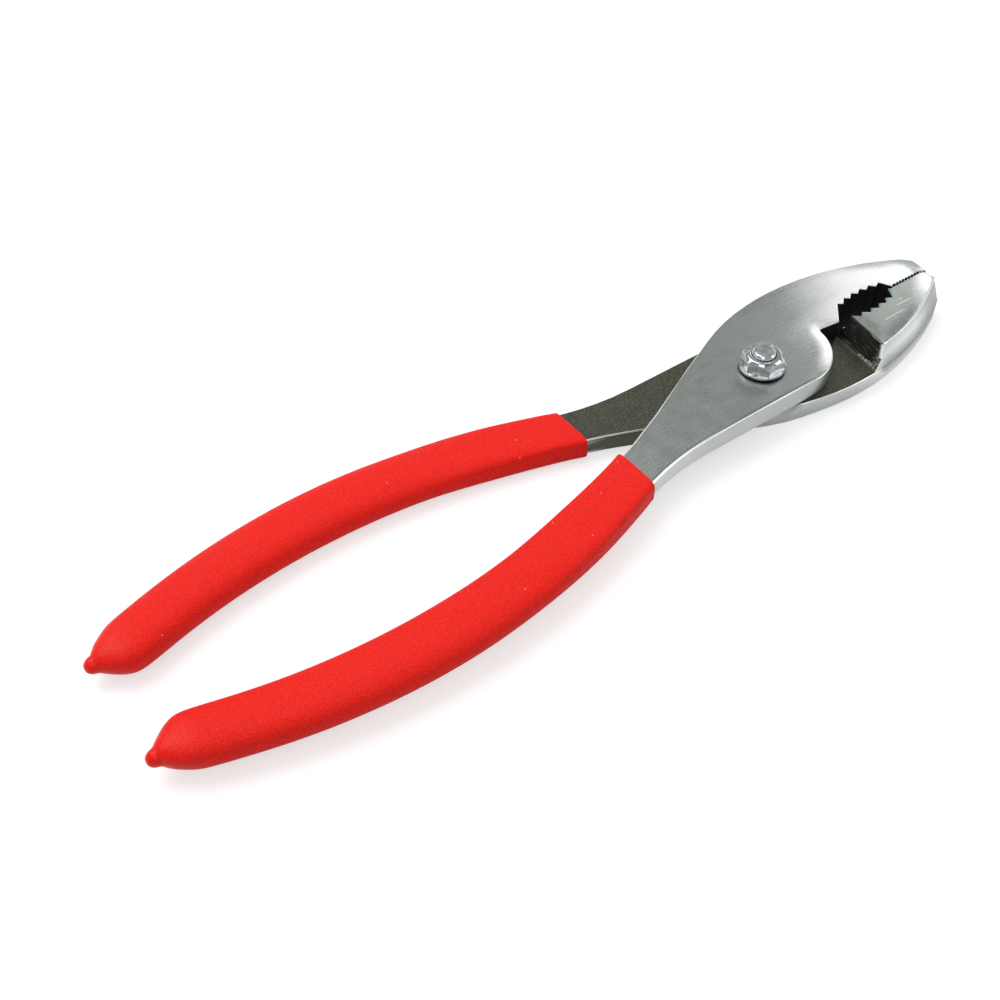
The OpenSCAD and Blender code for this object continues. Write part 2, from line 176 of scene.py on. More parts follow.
class PivotSettings(bpy.types.PropertyGroup):
    """Edges and finish of the bolt and its nut."""

    edge: bpy.props.FloatProperty(
        name="Edge", description="Rounding of the edges of the bolt and nut",
        default=0.12 * MM, unit="LENGTH")
    foot: bpy.props.FloatProperty(
        name="Foot", description="Rounding of the edge under the nut's flange",
        default=0.45 * MM, unit="LENGTH")
    countersink: bpy.props.FloatProperty(
        name="Countersink", description="Width of the countersink at the nut's crown",
        default=0.35 * MM, unit="LENGTH")
    zinc: bpy.props.FloatVectorProperty(
        name="Zinc plate", description="Colour of the bright zinc plating",
        size=4, default=linear("c6cacc"), subtype="COLOR")


class GripSettings(bpy.types.PropertyGroup):
    """Form and finish of the dipped grips."""

    rim: bpy.props.FloatProperty(
        name="Rim", description="Rounding of the grip's cut front edge",
        default=0.22 * MM, unit="LENGTH")
    front_square: bpy.props.FloatProperty(
        name="Front squareness", description="Squareness of the section at the front edge", default=5.5)
    middle_square: bpy.props.FloatProperty(
        name="Middle squareness", description="Squareness of the section at the middle", default=2.5)
    swell: bpy.props.FloatProperty(
        name="Swell",
        description="Length over which the section changes from the front one to the middle one",
        default=36 * MM, unit="LENGTH")
    tail_ease: bpy.props.FloatProperty(
        name="Tail easing", description="Reach over which the corners of the tail are rounded off",
        default=2.4 * MM, unit="LENGTH")
    vinyl: bpy.props.FloatVectorProperty(
        name="Vinyl", description="Colour of the dipped vinyl",
        size=4, default=linear("ff1c0e"), subtype="COLOR")


class StageSettings(bpy.types.PropertyGroup):
    """Floor, light and camera."""

    floor: bpy.props.FloatVectorProperty(
        name="Floor", description="Colour of the floor",
        size=4, default=linear("c0c0c0"), subtype="COLOR")
    lift: bpy.props.FloatProperty(
        name="Floor lift",
        description="White added to the floor where the camera or a reflection sees it", default=0.6)
    far_lift: bpy.props.FloatProperty(
        name="Far lift", description="White added beyond that where the lamps no longer reach", default=0.22)
    sky: bpy.props.FloatProperty(
        name="Sky", description="Strength of the even light from all round", default=0.45)
    view_angle: bpy.props.FloatProperty(
        name="View angle", description="Angle of view of the camera, over the whole square frame",
        default=math.radians(40), subtype="ANGLE")


# Materials

def feed(node, links):
    """Gives each named input of a node a value, or the socket that feeds it."""
    for name, value in links.items():
        if isinstance(value, bpy.types.NodeSocket):
            node.id_data.links.new(value, node.inputs[name])
        else:
            node.inputs[name].default_value = value


def add_node(tree, kind, links=None, **settings):
    """Adds a node with its settings; links gives each named input a value or the socket that feeds it."""
    made = tree.nodes.new(kind)
    for name, value in settings.items():
        setattr(made, name, value)
    feed(made, links or {})
    return made


def new_material(name):
    """An empty node material: itself, its tree, the shader that it shows and the piece's own coordinates."""
    material = bpy.data.materials.new(name)
    material.use_nodes = True
    tree = material.node_tree
    tree.nodes.clear()
    shader = add_node(tree, "ShaderNodeBsdfPrincipled")
    add_node(tree, "ShaderNodeOutputMaterial", {"Surface": shader.outputs["BSDF"]})
    place = add_node(tree, "ShaderNodeTexCoord").outputs["Object"]
    return material, tree, shader, place


def shared(name, make):
    """The material of that name, made at its first use."""
    return bpy.data.materials.get(name) or make(name)


def shaded(colour, share):
    """A colour made darker or brighter by share."""
    return [min(1.0, c * share) for c in colour[:3]] + [1.0]


def scratch(tree, place, start, stop, y):
    """A mask that is 1 on a fine scratch along X on the outer face, from start to stop at y."""
    split = add_node(tree, "ShaderNodeSeparateXYZ", {"Vector": place})
    spans = (("Y", y, 0.06), ("X", (start + stop) / 2, (stop - start) / 2), ("Z", HEAD_TOP, 1))
    hits = [add_node(tree, "ShaderNodeMath", {
        0: split.outputs[axis], 1: centre * MM, 2: reach * MM}, operation="COMPARE").outputs["Value"]
        for axis, centre, reach in spans]
    both = add_node(tree, "ShaderNodeMath", {0: hits[0], 1: hits[1]}, operation="MULTIPLY")
    return add_node(tree, "ShaderNodeMath", {
        0: both.outputs["Value"], 1: hits[2]}, operation="MULTIPLY").outputs["Value"]


def ground_steel(name, scratches=()):
    """Belt ground carbon steel: a satin metal with fine lines along the jaws, with a painted sheen where the
    face shows the lamps' reflection.
    """
    s = bpy.context.scene.pliers_forging
    material, tree, shader, place = new_material(name)
    lines = add_node(tree, "ShaderNodeMapping", {"Vector": place, "Scale": (0.07, 1.0, 1.0)})
    # Grit lines 0.3 mm apart, drawn coarser than the real ones so that they show
    grit = add_node(tree, "ShaderNodeTexNoise", {
        "Vector": lines.outputs["Vector"], "Scale": 1 / (0.3 * MM), "Detail": 3.0, "Roughness": 0.65})
    # Clouds 3 mm across, left by uneven pressure on the belt
    cloud = add_node(tree, "ShaderNodeTexNoise", {
        "Vector": place, "Scale": 1 / (3 * MM), "Detail": 4.0, "Roughness": 0.6})
    # Fine grain, drawn 0.3 mm across so that it shows
    grain = add_node(tree, "ShaderNodeTexNoise", {
        "Vector": place, "Scale": 1 / (0.3 * MM), "Detail": 3.0, "Roughness": 0.7})
    fleck = add_node(tree, "ShaderNodeMath", {
        0: grit.outputs["Fac"], 1: 0.4, 2: grain.outputs["Fac"]}, operation="MULTIPLY_ADD")
    shade = add_node(tree, "ShaderNodeMapRange", {
        "Value": fleck.outputs["Value"], "From Min": 0.45, "From Max": 0.95})
    dull = add_node(tree, "ShaderNodeMix", {
        0: shade.outputs["Result"], 6: shaded(s.ground, 0.75), 7: shaded(s.ground, 1.25)}, data_type="RGBA")
    # Painted sheen where the face shows the lamps' reflection, broken up along the grit lines
    share = add_node(tree, "ShaderNodeAttribute", attribute_name="sheen_and_skin").outputs["Fac"]
    broken = add_node(tree, "ShaderNodeMath", {
        0: fleck.outputs["Value"], 1: 0.9, 2: share}, operation="MULTIPLY_ADD")
    bright = add_node(tree, "ShaderNodeMapRange", {
        "Value": broken.outputs["Value"], "From Min": 0.72, "From Max": 1.55})
    tone = add_node(tree, "ShaderNodeMix", {
        0: bright.outputs["Result"], 6: dull.outputs[2], 7: tuple(s.sheen_and_wear)}, data_type="RGBA")
    for start, stop, y in scratches:
        mask = scratch(tree, place, start, stop, y)
        tone = add_node(tree, "ShaderNodeMix", {
            0: mask, 6: tone.outputs[2], 7: tuple(s.sheen_and_wear)}, data_type="RGBA")
    rough = add_node(tree, "ShaderNodeMapRange", {
        "Value": cloud.outputs["Fac"], "From Min": 0.3, "From Max": 0.7, "To Min": 0.3, "To Max": 0.38})
    bump = add_node(tree, "ShaderNodeBump", {
        "Height": fleck.outputs["Value"], "Distance": 0.02 * MM, "Strength": 0.6})
    feed(shader, {"Base Color": tone.outputs[2], "Metallic": 1.0, "Roughness": rough.outputs["Result"],
                  "Normal": bump.outputs["Normal"]})
    return material


def bright_edge(name):
    """Carbon steel edges rubbed bright by handling, painted near white as well for the highlight along the
    rounded edges: a clean, smooth metal.
    """
    s = bpy.context.scene.pliers_forging
    material, tree, shader, place = new_material(name)
    # Nicks 0.6 mm across
    nick = add_node(tree, "ShaderNodeTexNoise", {
        "Vector": place, "Scale": 1 / (0.6 * MM), "Detail": 3.0, "Roughness": 0.6})
    tone = add_node(tree, "ShaderNodeMix", {
        0: nick.outputs["Fac"], 6: shaded(s.sheen_and_wear, 0.9), 7: tuple(s.sheen_and_wear)}, data_type="RGBA")
    feed(shader, {"Base Color": tone.outputs[2], "Metallic": 1.0, "Roughness": 0.35})
    return material


def trimmed_steel(name):
    """Forging trimmed in a press: a mottled satin metal, with a painted sheen where it shows the lamps'
    reflection, dark where it kept its skin.
    """
    s = bpy.context.scene.pliers_forging
    material, tree, shader, place = new_material(name)
    upright = add_node(tree, "ShaderNodeMapping", {"Vector": place, "Scale": (1.0, 1.0, 0.2)})
    # Upright marks 0.4 mm apart
    mark = add_node(tree, "ShaderNodeTexNoise", {
        "Vector": upright.outputs["Vector"], "Scale": 1 / (0.4 * MM), "Detail": 2.0, "Roughness": 0.5})
    faint = add_node(tree, "ShaderNodeMath", {0: mark.outputs["Fac"], 1: 0.4}, operation="MULTIPLY")
    # Mottles 0.7 mm across
    mottle = add_node(tree, "ShaderNodeTexNoise", {
        "Vector": place, "Scale": 1 / (0.7 * MM), "Detail": 4.0, "Roughness": 0.65})
    fleck = add_node(tree, "ShaderNodeMath", {
        0: faint.outputs["Value"], 1: mottle.outputs["Fac"]}, operation="ADD")
    shade = add_node(tree, "ShaderNodeMapRange", {
        "Value": fleck.outputs["Value"], "From Min": 0.4, "From Max": 1.0})
    dull = add_node(tree, "ShaderNodeMix", {
        0: shade.outputs["Result"], 6: shaded(s.ground, 0.5), 7: shaded(s.ground, 0.85)}, data_type="RGBA")
    # Painted sheen: towards near white where the lever marks it, for the reflection on the flank and walls
    share = add_node(tree, "ShaderNodeAttribute", attribute_name="sheen_and_skin").outputs["Fac"]
    ground = add_node(tree, "ShaderNodeMix", {
        0: share, 6: dull.outputs[2], 7: tuple(s.sheen_and_wear)}, data_type="RGBA")
    # Below zero the attribute stands for skin, above zero for painted sheen
    kept = add_node(tree, "ShaderNodeMath", {0: share, 1: -1.0}, operation="MULTIPLY", use_clamp=True)
    tone = add_node(tree, "ShaderNodeMix", {
        0: kept.outputs["Value"], 6: ground.outputs[2], 7: tuple(s.oxide)}, data_type="RGBA")
    bump = add_node(tree, "ShaderNodeBump", {
        "Height": fleck.outputs["Value"], "Distance": 0.04 * MM, "Strength": 0.5})
    feed(shader, {"Base Color": tone.outputs[2], "Metallic": 1.0, "Roughness": 0.38,
                  "Normal": bump.outputs["Normal"]})
    return material


def forged_skin(name):
    """Blackened forging skin: dark and dull, with pale specks where the scale has chipped."""
    s = bpy.context.scene.pliers_forging
    material, tree, shader, place = new_material(name)
    # Specks 0.3 mm across
    speck = add_node(tree, "ShaderNodeTexNoise", {
        "Vector": place, "Scale": 1 / (0.3 * MM), "Detail": 4.0, "Roughness": 0.75})
    chipped = add_node(tree, "ShaderNodeMapRange", {
        "Value": speck.outputs["Fac"], "From Min": 0.5, "From Max": 0.8, "To Max": 0.8})
    # Patches 4 mm across
    patch = add_node(tree, "ShaderNodeTexNoise", {
        "Vector": place, "Scale": 1 / (4 * MM), "Detail": 4.0, "Roughness": 0.6})
    skin = add_node(tree, "ShaderNodeMix", {
        0: patch.outputs["Fac"], 6: shaded(s.oxide, 0.7), 7: shaded(s.oxide, 1.25)}, data_type="RGBA")
    tone = add_node(tree, "ShaderNodeMix", {
        0: chipped.outputs["Result"], 6: skin.outputs[2], 7: linear("a8a898")}, data_type="RGBA")
    rough = add_node(tree, "ShaderNodeMapRange", {
        "Value": patch.outputs["Fac"], "From Min": 0.3, "From Max": 0.7, "To Min": 0.42, "To Max": 0.58})
    bump = add_node(tree, "ShaderNodeBump", {
        "Height": speck.outputs["Fac"], "Distance": 0.05 * MM, "Strength": 0.5})
    feed(shader, {"Base Color": tone.outputs[2], "Metallic": 0.9, "Roughness": rough.outputs["Result"],
                  "Normal": bump.outputs["Normal"]})
    return material


def black_scale_and_shade(name):
    """A nearly black film with little gloss: scale on the hardened teeth, painted near black for the shade in
    the mouth as well, and painted shade in the seam under the nut's flange.
    """
    material, tree, shader, place = new_material(name)
    # Flakes 0.3 mm across
    flake = add_node(tree, "ShaderNodeTexNoise", {
        "Vector": place, "Scale": 1 / (0.3 * MM), "Detail": 3.0})
    tone = add_node(tree, "ShaderNodeMix", {
        0: flake.outputs["Fac"], 6: linear("020202"), 7: linear("121310")}, data_type="RGBA")
    bump = add_node(tree, "ShaderNodeBump", {
        "Height": flake.outputs["Fac"], "Distance": 0.05 * MM, "Strength": 0.4})
    feed(shader, {"Base Color": tone.outputs[2], "Roughness": 0.7, "Specular IOR Level": 0.25,
                  "Normal": bump.outputs["Normal"]})
    return material


def scraped_scale(name):
    """The wall at the end of the jaw: dark scale with drag marks, lighter in spots towards its outer end and
    along its foot.
    """
    material, tree, shader, place = new_material(name)
    slant = add_node(tree, "ShaderNodeMapping", {
        "Vector": place, "Rotation": (math.radians(35), 0.0, 0.0), "Scale": (1.0, 0.22, 1.0)})
    # Drag marks 0.5 mm apart, slanting down the wall
    drag = add_node(tree, "ShaderNodeTexNoise", {
        "Vector": slant.outputs["Vector"], "Scale": 1 / (0.5 * MM), "Detail": 3.0, "Roughness": 0.6})
    marks = add_node(tree, "ShaderNodeMapRange", {
        "Value": drag.outputs["Fac"], "From Min": 0.5, "From Max": 0.72})
    dark = add_node(tree, "ShaderNodeMix", {
        0: marks.outputs["Result"], 6: linear("0e0f0c"), 7: linear("40443a")}, data_type="RGBA")
    # Light spots 0.6 mm across
    spot = add_node(tree, "ShaderNodeTexNoise", {
        "Vector": place, "Scale": 1 / (0.6 * MM), "Detail": 3.0, "Roughness": 0.7})
    share = add_node(tree, "ShaderNodeAttribute", attribute_name="sheen_and_skin").outputs["Fac"]
    through = add_node(tree, "ShaderNodeMath", {0: spot.outputs["Fac"], 1: share}, operation="ADD")
    lightened = add_node(tree, "ShaderNodeMapRange", {
        "Value": through.outputs["Value"], "From Min": 0.95, "From Max": 1.35})
    tone = add_node(tree, "ShaderNodeMix", {
        0: lightened.outputs["Result"], 6: dark.outputs[2], 7: linear("b4b6ae")}, data_type="RGBA")
    bump = add_node(tree, "ShaderNodeBump", {
        "Height": spot.outputs["Fac"], "Distance": 0.1 * MM, "Strength": 0.5})
    feed(shader, {"Base Color": tone.outputs[2], "Roughness": 0.6, "Specular IOR Level": 0.25,
                  "Normal": bump.outputs["Normal"]})
    return material


def zinc_plate(name, depth):
    """Bright zinc plated steel: a shiny metal with a cool tint, wavy to the given depth."""
    s = bpy.context.scene.pliers_pivot
    material, tree, shader, place = new_material(name)
    # Waves 1.6 mm across, from the rolled blank
    wave = add_node(tree, "ShaderNodeTexNoise", {
        "Vector": place, "Scale": 1 / (1.6 * MM), "Detail": 0.0})
    shade = add_node(tree, "ShaderNodeMapRange", {
        "Value": wave.outputs["Fac"], "From Min": 0.35, "From Max": 0.65})
    tone = add_node(tree, "ShaderNodeMix", {
        0: shade.outputs["Result"], 6: shaded(s.zinc, 0.9), 7: shaded(s.zinc, 1.1)}, data_type="RGBA")
    rough = add_node(tree, "ShaderNodeMapRange", {
        "Value": wave.outputs["Fac"], "From Min": 0.3, "From Max": 0.7, "To Min": 0.07, "To Max": 0.16})
    bump = add_node(tree, "ShaderNodeBump", {
        "Height": wave.outputs["Fac"], "Distance": depth, "Strength": 0.5})
    feed(shader, {"Base Color": tone.outputs[2], "Metallic": 1.0, "Roughness": rough.outputs["Result"],
                  "Normal": bump.outputs["Normal"]})
    return material


def dipped_vinyl(name):
    """Dipped PVC: a strong even red with a fine pebbled skin, smoother and glossier at the drip end."""
    s = bpy.context.scene.pliers_grip
    material, tree, shader, place = new_material(name)
    tail = add_node(tree, "ShaderNodeSeparateXYZ", {"Vector": place}).outputs["X"]
    # The last 8 mm of the grip drained smoother
    pebbled = add_node(tree, "ShaderNodeMapRange", {
        "Value": tail, "From Min": -98 * MM, "From Max": -90 * MM, "To Min": 0.2, "To Max": 1.0})
    # Pebbles, drawn 0.4 mm across so that they show
    pebble = add_node(tree, "ShaderNodeTexNoise", {
        "Vector": place, "Scale": 1 / (0.4 * MM), "Detail": 2.0, "Roughness": 0.7})
    shade = add_node(tree, "ShaderNodeMapRange", {
        "Value": pebble.outputs["Fac"], "From Min": 0.3, "From Max": 0.65})
    base = add_node(tree, "ShaderNodeMix", {
        0: shade.outputs["Result"], 6: shaded(s.vinyl, 0.7), 7: tuple(s.vinyl)}, data_type="RGBA")
    # Painted glints: bright specks 0.12 mm in radius, one in eight of the 2 mm cells, for the sparkle of the
    # pebbled skin
    cells = add_node(tree, "ShaderNodeTexVoronoi", {"Vector": place, "Scale": 1 / (2 * MM)})
    near = add_node(tree, "ShaderNodeMath", {0: cells.outputs["Distance"], 1: 0.06}, operation="LESS_THAN")
    lot = add_node(tree, "ShaderNodeSeparateColor", {"Color": cells.outputs["Color"]}).outputs["Red"]
    drawn = add_node(tree, "ShaderNodeMath", {0: lot, 1: 0.87}, operation="GREATER_THAN")
    painted_glint = add_node(tree, "ShaderNodeMath", {
        0: near.outputs["Value"], 1: drawn.outputs["Value"]}, operation="MULTIPLY")
    tone = add_node(tree, "ShaderNodeMix", {
        0: painted_glint.outputs["Value"], 6: base.outputs[2], 7: linear("ffb0a4")}, data_type="RGBA")
    rough = add_node(tree, "ShaderNodeMapRange", {
        "Value": pebbled.outputs["Result"], "To Min": 0.2, "To Max": 0.55})
    bump = add_node(tree, "ShaderNodeBump", {
        "Height": pebble.outputs["Fac"], "Distance": 0.2 * MM, "Strength": pebbled.outputs["Result"]})
    feed(shader, {"Base Color": tone.outputs[2], "Roughness": rough.outputs["Result"], "IOR": 1.53,
                  "Specular IOR Level": 0.2, "Normal": bump.outputs["Normal"]})
    return material


# Shapes

def cad_copy(node):
    """A merged copy of a CAD node's mesh, with its flat faces whole."""
    bm = bmesh.new()
    bm.from_mesh(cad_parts[node].data)
    bm.edges.layers.float.new("bevel_weight_edge")
    bmesh.ops.remove_doubles(bm, verts=bm.verts, dist=0.002 * MM)
    bmesh.ops.dissolve_limit(bm, angle_limit=math.radians(0.5), verts=bm.verts, edges=bm.edges)
    return bm


def middle(edge):
    """The middle of an edge, in millimetres."""
    return (edge.verts[0].co + edge.verts[1].co) / 2 / MM


def rounded(bm, widths, segments):
    """A copy of bm with its edges rounded: widths gives each edge's width. The first bm is freed."""
    largest = max(widths.values())
    weight = bm.edges.layers.float["bevel_weight_edge"]
    for edge, width in widths.items():
        edge[weight] = width / largest
    mesh = bpy.data.meshes.new("sharp")
    bm.to_mesh(mesh)
    bm.free()
    sharp = bpy.data.objects.new("sharp", mesh)
    bpy.context.scene.collection.objects.link(sharp)
    bevel = sharp.modifiers.new("rounding", "BEVEL")
    bevel.limit_method = "WEIGHT"
    bevel.width = largest
    bevel.segments = segments
    bevel.profile = 0.5
    bevel.material = -1
    bevel.use_clamp_overlap = False
    shown = sharp.evaluated_get(bpy.context.evaluated_depsgraph_get())
    done = bpy.data.meshes.new_from_object(shown)
    bm = bmesh.new()
    bm.from_mesh(done)
    bpy.data.objects.remove(sharp)
    for spare in (mesh, done):
        bpy.data.meshes.remove(spare)
    return bm


def finish_piece(name, bm, materials, crease):
    """Makes an object of bm, smooth but for edges sharper than crease degrees."""
    for face in bm.faces:
        face.smooth = True
    for edge in bm.edges:
        edge.smooth = len(edge.link_faces) == 2 and edge.calc_face_angle() < math.radians(crease)
    mesh = bpy.data.meshes.new(name)
    bm.to_mesh(mesh)
    bm.free()
    for material in materials:
        mesh.materials.append(material)
    piece = bpy.data.objects.new(name, mesh)
    bpy.context.scene.collection.objects.link(piece)
    return piece


def keep_flat(piece, ranked=False):
    """Shades flat faces flat beside rounded edges, by each face's own strength if ranked."""
    even = piece.modifiers.new("flat faces", "WEIGHTED_NORMAL")
    even.keep_sharp = True
    even.use_face_influence = ranked


def carried(piece, body, node):
    """Sets a piece on its body in place of its CAD node."""
    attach(piece, body)
    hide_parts(node)


def gap_to(p, a, b):
    """Distance in the plan from p to the line from a to b."""
    span = b - a
    t = max(0.0, min(1.0, (p - a).dot(span) / max(span.length_squared, 1e-9)))
    return (a + span * t - p).length


def in_mouth(p):
    """True in the toothed mouth and at the cutter, on either lever."""
    return p.x > 69.2 and abs(p.y) < 4.4 and (abs(p.y) < 1.0 or p.x < 88.6)


def lap_side(upper):
    """The side of a lever, 1 or -1, which it takes both in Y and in Z, and the height of its lapped face."""
    return (1.0, LAP_HIGH) if upper else (-1.0, LAP_LOW)


def off_pivot(p):
    """Distance in the plan from p to the pivot's axis."""
    return math.hypot(p.x - PIVOT.x, p.y - PIVOT.y)


def ground_tops(bm):
    """The flat upper faces of the head and neck."""
    return [f for f in bm.faces if f.normal.z > 0.998 and f.calc_center_median().z > FACE_LOW * MM]


def cut_faces(bm, faces, axis, where):
    """Cuts faces along the plane at where on an axis, and returns the faces that come of it."""
    geometry = list(dict.fromkeys(g for f in faces for g in (*f.verts, *f.edges))) + faces
    spot, normal = [0, 0, 0], [0, 0, 0]
    spot[axis], normal[axis] = where, 1
    cut = bmesh.ops.bisect_plane(bm, geom=geometry, dist=1e-7, plane_co=spot, plane_no=normal)
    return [g for g in cut["geom"] if isinstance(g, bmesh.types.BMFace)]


def edge_widths(bm, upper):
    """The rounding wanted on each edge of a lever, by where it lies."""
    s = bpy.context.scene.pliers_forging
    out, lap = lap_side(upper)
    block = 0.0 if upper else HEAD_TOP
    widths = {}
    for edge in bm.edges:
        p = middle(edge)
        if p.x < BARE_FROM or edge.calc_face_angle() < math.radians(20):
            continue
        normals = [f.normal for f in edge.link_faces]
        faces_up = any(n.z * out > 0.9 for n in normals) and (p.z - lap) * out > 2.5
        faces_back = any(n.x < -0.5 for n in normals)
        faces_side = any(n.y * out > 0.5 for n in normals)
        at_lap = abs(p.z - lap) < 0.05
        if edge.calc_face_angle_signed() < 0:
            # The fillet at the foot of the wall in the recess
            if at_lap and WALL_NEAR < p.x < 73 and abs(p.y) < 13 and faces_back:
                widths[edge] = s.wall_fillet
        elif in_mouth(p):
            widths[edge] = s.tooth_edge
        elif WALL_NEAR < p.x < 75 and abs(p.y) > 9 and faces_back and faces_side:
            widths[edge] = s.wall_end
        elif p.z < 0.05:
            # The underside is rounded by turn_under
            continue
        elif p.x > 97.4:
            widths[edge] = s.nose_edge
        elif faces_up and off_pivot(p) < 3.5:
            widths[edge] = s.bore_edge
        elif faces_up:
            neck = ease((56 - p.x) / 48) if p.y < 0 else 0.0
            widths[edge] = mix(s.face_edge, s.neck_edge, neck)
        elif abs(p.z - block) < 0.05:
            widths[edge] = s.brow_edge
        elif at_lap and p.x < 69 and off_pivot(p) > 11:
            widths[edge] = (1.6 if p.x < 36 and faces_side else 1.0) * s.worn_edge
    return widths


def turn_under(bm, upper):
    """Rounds the edge of the underside: level cuts, each drawn in from the walls along a quarter circle."""
    s = bpy.context.scene.pliers_forging

    def reach(p):
        """Radius of the rounding at p, in millimetres."""
        back = p.y > 0 if upper else p.y < 0
        large = mix(s.face_edge, s.sole_edge, ease((p.x - 42) / 14)) if back else s.face_edge
        return mix(large, s.sole_nose, ease((p.x - 92) / 6)) / MM

    for share in (1.0, 0.5, 0.22, 0.06):
        geometry = bm.verts[:] + bm.edges[:] + bm.faces[:]
        bmesh.ops.bisect_plane(bm, geom=geometry, dist=1e-7, plane_co=(0, 0, share * s.sole_edge),
                               plane_no=(0, 0, 1))
    moves = {}
    for v in bm.verts:
        p = v.co / MM
        r = reach(p)
        in_pocket = gap_to(p.xy, PIVOT.xy, SECOND_SEAT.xy) < 6.5
        if p.z > r or p.x < BARE_FROM or in_mouth(p) or in_pocket:
            continue
        walls = [f.normal for f in v.link_faces if abs(f.normal.z) < 0.5]
        plan = sum((Vector((n.x, n.y, 0)) for n in walls), Vector())
        if plan.length > 0.1:
            moves[v] = plan.normalized() * (r - math.sqrt(r * r - (r - p.z) ** 2)) * MM
    for v, move in moves.items():
        v.co -= move


def grid_cut(bm):
    """Cuts the flat upper faces of the head and neck into a grid of 1 mm."""
    bmesh.ops.triangulate(bm, faces=ground_tops(bm))
    for axis, start, stop in ((0, 6, 100), (1, -17, 17)):
        for k in range(start, stop):
            cut_faces(bm, ground_tops(bm), axis, (k + 0.5) * MM)


def flush_parting(bm, upper):
    """Grinds the step at the parting line of the jaw's back flush."""
    s = bpy.context.scene.pliers_forging
    out, lap = lap_side(upper)
    for v in bm.verts:
        p = v.co / MM
        if abs(p.z - lap) > 0.01 or p.x < 69 or p.y * out < 4.5:
            continue
        walls = [f.normal for f in v.link_faces
                 if abs(f.normal.z) < 0.7 and f.normal.x > -0.5
                 and (f.calc_center_median().z / MM - lap) * out < 0]
        plan = sum((Vector((n.x, n.y, 0)) for n in walls), Vector())
        if plan.length > 0.1:
            v.co += plan.normalized() * s.parting


def slope(x):
    """Depth of the outer face below the head's top at x on the CAD solid, in millimetres."""
    return max(0.0, BEND_FROM - x) / BEND_LENGTH * BEND_DROP


def sag(x):
    """The same depth with the bend eased over the whole neck."""
    return (max(0.0, SAG_FROM - x) / SAG_LENGTH) ** 1.8 * BEND_DROP


def cut_wall(bm, upper):
    """Cuts the wall in the recess across, where its lighter part begins and grows."""
    wall = [f for f in bm.faces
            if f.normal.x < -0.4 and WALL_NEAR < f.calc_center_median().x / MM < WALL_FAR]
    for across in (10.2, 11, 12):
        wall = cut_faces(bm, wall, 1, (across if upper else -across) * MM)


def rank_tops(bm):
    """Makes the flat upper faces strong for shading, and lists the lines of their outer border."""
    strength = bm.faces.layers.int.new(STRENGTH_LAYER)
    tops = set(ground_tops(bm))
    for face in tops:
        face[strength] = STRONG
    border = [e for e in bm.edges if 0 < sum(f in tops for f in e.link_faces) < len(e.link_faces)]
    lines = [(e.verts[0].co.xy / MM, e.verts[1].co.xy / MM) for e in border]
    return [(a, b) for a, b in lines if (a - PIVOT.xy).length > 4 and not in_mouth(a.to_3d())]


def nose_share(p):
    """Share of the nose's bevel that lies behind p: 0 at its bowed border and about 1 at the tip."""
    side = abs(p.y) - 3.2
    return (p.x - 96.9 + 0.06 * side * side) / 3.4


def upper_painted_sheen(p, edge):
    """Painted sheen on the upper face at p, that far from its edge: most along the mouth and on the lobe, where
    the lamps' reflection falls.
    """
    border = 72 + 1.88 * max(0.0, p.y - 2.1) if p.y < 5.4 else 78.2 + 0.375 * (p.y - 5.4)
    jaw = 0.94 * ease((p.x - border + 22) / 28) * (1 - ease(nose_share(p) * 1.6 + 0.8))
    # Less painted sheen along the jaw's back
    jaw *= 1 - 0.75 * ease(1 - (edge - 0.3) / 3.4) * ease((p.x - 78) / 14)
    lobe = ease(1.25 - edge / 3.0) * ease((p.x - 53) / 6) * ease((3 - p.y) / 3)
    return max(jaw, lobe)


def lower_painted_sheen(p):
    """Painted sheen on the lower jaw's face at p: most just behind the nose's bevel, where the lamps'
    reflection falls.
    """
    border = 90.7 + 1.1 * (p.y + 2.9) if p.y > -8.8 else 84.2 + 1.65 * (p.y + 8.8)
    return 0.92 * ease((p.x - border + 1.2) / 7) * (1 - 0.8 * ease(nose_share(p) * 2.2 - 0.1))


def grind_tops(bm, upper, outer):
    """Lowers the upper faces by their sag, rolled border and nose bevel, and marks their painted sheen."""
    s = bpy.context.scene.pliers_forging
    sheen_and_skin = bm.verts.layers.float.new("sheen_and_skin")
    moves = {}
    for v in bm.verts:
        p = v.co / MM
        top = HEAD_TOP - slope(p.x)
        if p.z < top - EDGE_DEPTH or p.x < BARE_FROM:
            continue
        drop = sag(p.x) - slope(p.x) if upper else 0.0
        if p.x > HEAD_FROM:
            edge = min(gap_to(p.xy, a, b) for a, b in outer)
            roll = max(0.0, 1 - edge / (s.roll_width / MM)) ** 2 * s.roll_drop / MM
            roll *= ease((p.x - HEAD_FROM) / 6)
            if not upper:
                # The lower jaw's face rolls off further along its back
                along = ease((p.x - 72) / 4) * (1 - ease((p.x - 88) / 6))
                roll *= 1 + 1.5 * ease((-3 - p.y) / 2) * along
            drop += max(ease(nose_share(p)) * s.nose_drop / MM * (1.0 if upper else 0.5), roll)
            v[sheen_and_skin] = upper_painted_sheen(p, edge) if upper else lower_painted_sheen(p)
        moves[v] = drop * ease((p.z - top + EDGE_DEPTH) / 0.9)
    for v, move in moves.items():
        v.co.z -= move * MM


